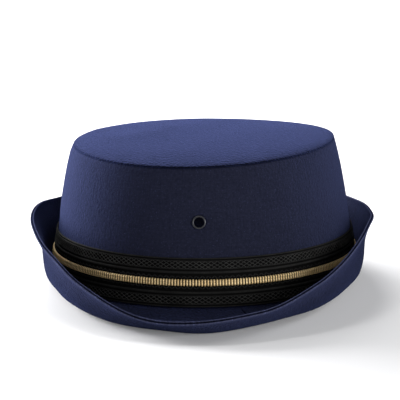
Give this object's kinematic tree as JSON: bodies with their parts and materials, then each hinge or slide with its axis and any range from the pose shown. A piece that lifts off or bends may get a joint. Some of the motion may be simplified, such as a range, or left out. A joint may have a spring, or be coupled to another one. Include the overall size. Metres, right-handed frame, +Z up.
{
  "type": "rolled-brim uniform hat",
  "caption": "Oval navy cloth uniform hat: low domed top, black woven band with a gold braid, front eyelet for a badge, brim low at the front and turned up at the sides and back.",
  "frame": {"origin": "middle of the underside of the whole hat, on the surface it rests on", "axes": "+Z up through the crown, +Y towards the back of the hat, +X towards the wearer's left; the low front of the brim and the eyelet face -Y"},
  "size_m": [0.1912, 0.2697, 0.0828],
  "materials": {
    "navy_cloth": "dull woven wool blend, fine weave",
    "black_ribbon": "woven ribbon with openwork stripes and corded ribs, slight sheen",
    "gold_braid": "ribbed metallic thread, soft sheen",
    "gunmetal": "dark plated, polished rim"
  },
  "bodies": {
    "root": {"crown_side": "navy_cloth", "crown_top": "navy_cloth", "brim": "navy_cloth", "hat_band": "black_ribbon", "gold_braid": "gold_braid", "badge_eyelet": "gunmetal"}
  },
  "joints": []
}
